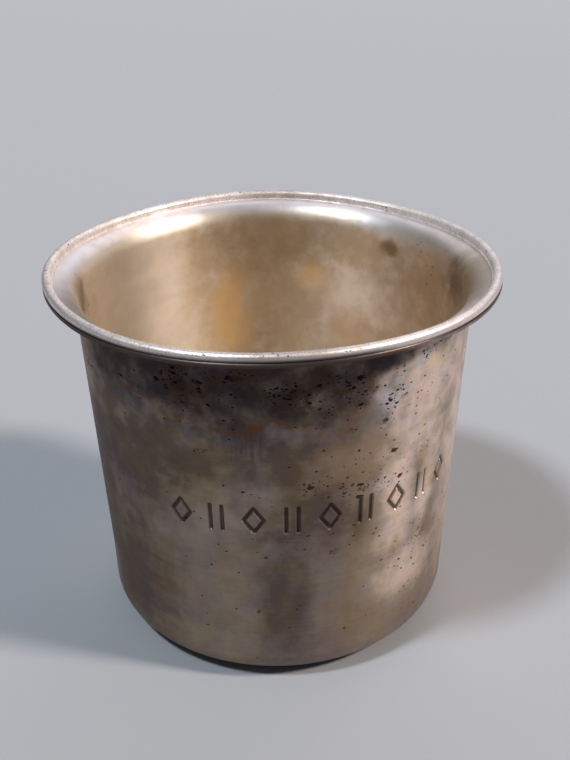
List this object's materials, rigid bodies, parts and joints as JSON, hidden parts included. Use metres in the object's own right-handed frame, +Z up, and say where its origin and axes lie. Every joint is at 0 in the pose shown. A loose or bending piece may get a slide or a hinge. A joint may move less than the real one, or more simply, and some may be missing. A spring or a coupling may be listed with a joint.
{
  "type": "bar jigger",
  "caption": "Small straight-sided metal measuring cup with a trumpet lip, a wired rim, a rounded foot and a punched band of lozenges and bars.",
  "frame": {"origin": "centre of the flat base, on the surface the cup stands on", "axes": "+Z up along the cup's axis towards its mouth; -Y is the side with the punched band; +X to the right of that side"},
  "size_m": [0.048, 0.048, 0.0408],
  "materials": {
    "cup_silver": "satin",
    "wire_silver": "polished"
  },
  "bodies": {
    "root": {"cup_shell": "cup_silver", "rim_wire": "wire_silver"}
  },
  "joints": []
}
